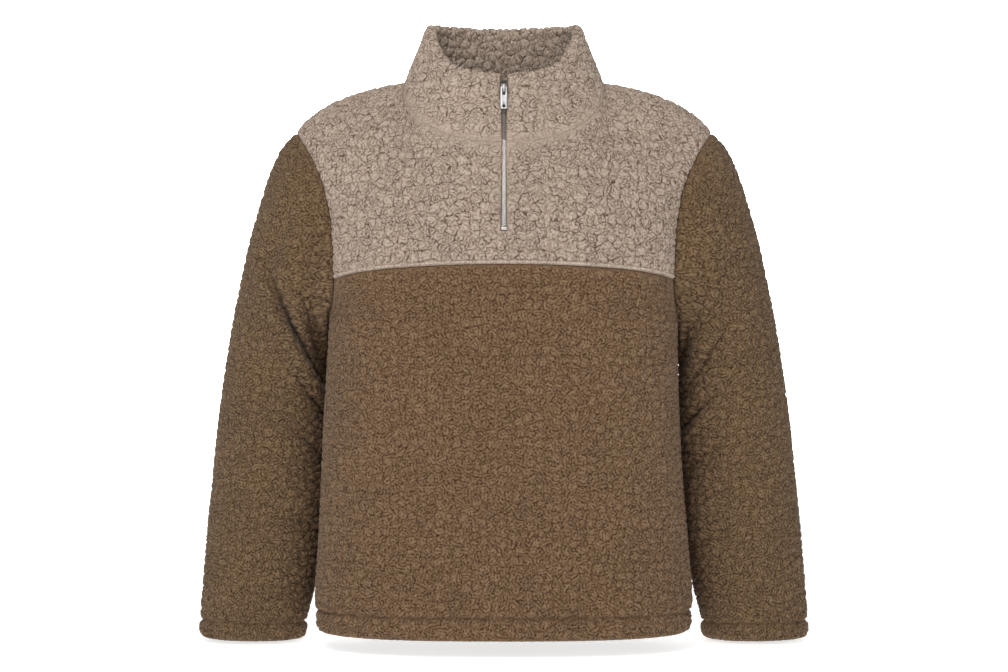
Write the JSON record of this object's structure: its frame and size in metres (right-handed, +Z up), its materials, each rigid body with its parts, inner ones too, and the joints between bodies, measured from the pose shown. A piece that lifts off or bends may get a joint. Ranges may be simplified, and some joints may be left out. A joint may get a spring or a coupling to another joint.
{
  "type": "quarter-zip fleece sweatshirt",
  "caption": "Curly fleece pullover, filled out as worn: light yoke over a brown body and sleeves, stand collar, short front zip with a hanging pull tab, turned-up hem and cuffs.",
  "frame": {"origin": "Middle of the neck opening, level with the highest points of the shoulders, where the wearer's neck and shoulders hold the garment up", "axes": "+X to the wearer's left, -Y out of the front with the zip, +Z up"},
  "size_m": [0.743, 0.25, 0.7513],
  "materials": {
    "light_fleece": "curly sherpa pile, light taupe, matt",
    "brown_fleece": "curly sherpa pile, mid brown, matt",
    "yoke_edge": "flat folded edge, light taupe",
    "zip_tape": "woven tape, grey taupe",
    "zip_metal": "bright silver metal"
  },
  "bodies": {
    "pullover": {"front_yoke": "light_fleece", "back_yoke": "light_fleece", "collar": "light_fleece", "front_body": "brown_fleece", "back_body": "brown_fleece", "sleeve_right": "brown_fleece", "sleeve_left": "brown_fleece", "yoke_edge_front": "yoke_edge", "yoke_edge_back": "yoke_edge", "zip_tape_right": "zip_tape", "zip_tape_left": "zip_tape", "zip_teeth": "zip_metal", "zip_stop": "zip_metal", "zip_slider": "zip_metal"},
    "tab": {"pull_tab": "zip_metal"}
  },
  "joints": [
    {"name": "tab_swing", "type": "hinge", "parent": "pullover", "child": "tab", "pos_m": [0, -0.07782, -0.0159], "axis": [-1, 0, 0], "range_deg": [0, 165]}
  ]
}
